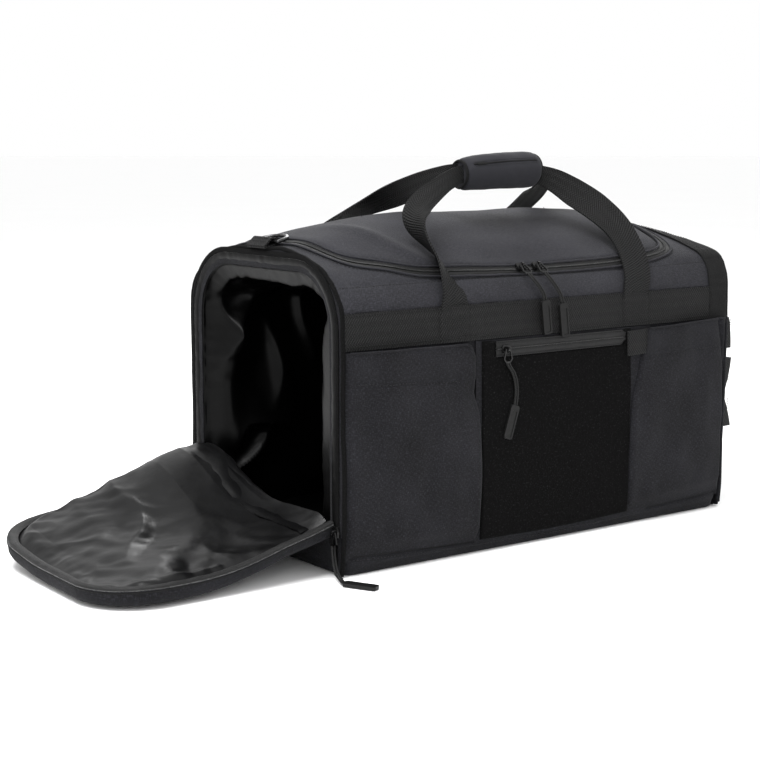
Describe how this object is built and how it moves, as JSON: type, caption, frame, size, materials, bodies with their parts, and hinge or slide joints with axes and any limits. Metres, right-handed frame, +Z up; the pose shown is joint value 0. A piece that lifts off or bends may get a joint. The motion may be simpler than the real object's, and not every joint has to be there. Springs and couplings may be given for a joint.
{
  "type": "flight bag",
  "caption": "Soft-sided crew duffel with twin webbing handles, a padded grip, a zipped lid, front pockets and a drop-down end door to a shoe compartment.",
  "frame": {"origin": "centre of the base panel's underside, on the floor", "axes": "+X along the length to the closed end with the webbing ladder, -X to the drop-down door, -Y to the front pockets, +Z up"},
  "size_m": [0.8344, 0.3638, 0.434],
  "materials": {
    "body_fabric": "matte charcoal melange woven polyester",
    "lid_fabric": "matte charcoal melange woven polyester",
    "webbing": "ribbed black nylon webbing",
    "loop_pile": "fuzzy loop pile",
    "liner_satin": "satin lining with soft folds",
    "zip_tape": "coated zip tape with a fine coil",
    "binding": "grosgrain binding",
    "foam": "closed foam core",
    "board": "stiffener board",
    "slider_metal": "black painted zinc",
    "ring_metal": "black painted steel",
    "pull_cord": "braided cord",
    "tab_plastic": "moulded matte plastic"
  },
  "bodies": {
    "bag": {"base_panel": "body_fabric", "base_board": "board", "front_panel": "body_fabric", "back_panel": "body_fabric", "right_end_panel": "body_fabric", "left_end_frame": "body_fabric", "top_deck": "lid_fabric", "main_lining": "liner_satin", "shoe_tunnel_liner": "liner_satin", "front_band": "webbing", "back_band": "webbing", "left_end_piping": "binding", "right_end_binding": "binding", "left_slip_pocket": "body_fabric", "right_slip_pocket": "body_fabric", "zip_pocket_panel": "body_fabric", "loop_panel": "loop_pile", "pocket_zip_tape": "zip_tape", "webbing_tab": "webbing", "deck_zip_tape": "zip_tape", "frame_zip_tape": "zip_tape", "left_ring_tab": "webbing", "right_ring_tab": "webbing", "ladder_row_top": "webbing", "ladder_row_middle": "webbing", "ladder_row_bottom": "webbing"},
    "door": {"door_panel": "body_fabric", "door_foam": "foam", "door_liner": "liner_satin", "door_gusset": "body_fabric", "door_zip_tape": "zip_tape"},
    "lid": {"lid_panel": "lid_fabric", "lid_lining": "liner_satin", "lid_zip_tape": "zip_tape"},
    "front_handle": {"front_handle": "webbing"},
    "rear_handle": {"rear_handle": "webbing", "grip_foam": "foam", "grip_wrap": "body_fabric"},
    "left_ring": {"left_ring": "ring_metal"},
    "right_ring": {"right_ring": "ring_metal"},
    "lid_left_slider": {"lid_left_slider": "slider_metal"},
    "lid_left_pull": {"lid_left_pull_ring": "ring_metal", "lid_left_cord": "pull_cord", "lid_left_tab": "tab_plastic"},
    "lid_right_slider": {"lid_right_slider": "slider_metal"},
    "lid_right_pull": {"lid_right_pull_ring": "ring_metal", "lid_right_cord": "pull_cord", "lid_right_tab": "tab_plastic"},
    "pocket_slider": {"pocket_slider": "slider_metal"},
    "pocket_pull": {"pocket_pull_ring": "ring_metal", "pocket_cord": "pull_cord", "pocket_tab": "tab_plastic"},
    "door_slider": {"door_slider": "slider_metal"},
    "door_pull": {"door_pull_ring": "ring_metal", "door_cord": "pull_cord", "door_tab": "tab_plastic"}
  },
  "joints": [
    {"name": "door_swing", "type": "hinge", "parent": "bag", "child": "door", "pos_m": [-0.28, 0, 0.055], "axis": [0, 1, 0], "range_deg": [0, 98]},
    {"name": "front_handle_fold", "type": "hinge", "parent": "bag", "child": "front_handle", "pos_m": [0, -0.1535, 0.274], "axis": [1, 0, 0], "range_deg": [0, 185]},
    {"name": "rear_handle_fold", "type": "hinge", "parent": "bag", "child": "rear_handle", "pos_m": [0, 0.1535, 0.274], "axis": [-1, 0, 0], "range_deg": [0, 185]},
    {"name": "lid_open", "type": "hinge", "parent": "bag", "child": "lid", "pos_m": [0, 0.118, 0.32223], "axis": [-1, 0, 0], "range_deg": [0, 92.5]},
    {"name": "lid_left_slide", "type": "slide", "parent": "bag", "child": "lid_left_slider", "axis": [1, 0, 0], "range_m": [-0.08, 0]},
    {"name": "lid_left_pull_swing", "type": "hinge", "parent": "lid_left_slider", "child": "lid_left_pull", "pos_m": [-0.027, -0.13758, 0.31202], "axis": [-1, 0, 0], "range_deg": [0, 80]},
    {"name": "lid_right_slide", "type": "slide", "parent": "bag", "child": "lid_right_slider", "axis": [1, 0, 0], "range_m": [0, 0.085]},
    {"name": "lid_right_pull_swing", "type": "hinge", "parent": "lid_right_slider", "child": "lid_right_pull", "pos_m": [-0.003, -0.13758, 0.31202], "axis": [-1, 0, 0], "range_deg": [0, 80]},
    {"name": "pocket_slide", "type": "slide", "parent": "bag", "child": "pocket_slider", "axis": [1, 0, 0], "range_m": [0, 0.17]},
    {"name": "pocket_pull_swing", "type": "hinge", "parent": "pocket_slider", "child": "pocket_pull", "pos_m": [-0.066, -0.1604, 0.223], "axis": [-1, 0, 0], "range_deg": [0, 85]},
    {"name": "door_slide", "type": "slide", "parent": "bag", "child": "door_slider", "axis": [0, 0, 1], "range_m": [0, 0.19]},
    {"name": "door_pull_swing", "type": "hinge", "parent": "door_slider", "child": "door_pull", "pos_m": [-0.2874, -0.146, 0.048], "axis": [0, 1, 0], "range_deg": [0, 80]},
    {"name": "left_ring_swing", "type": "hinge", "parent": "bag", "child": "left_ring", "pos_m": [-0.272, 0, 0.3402], "axis": [0, -1, 0], "range_deg": [0, 150]},
    {"name": "right_ring_swing", "type": "hinge", "parent": "bag", "child": "right_ring", "pos_m": [0.2821, 0, 0.297], "axis": [0, -1, 0], "range_deg": [0, 120]}
  ],
  "couplings": [
    {"joint": "rear_handle_fold", "follows": "front_handle_fold", "ratio": 1},
    {"joint": "lid_open", "follows": "front_handle_fold", "ratio": 0.5}
  ]
}
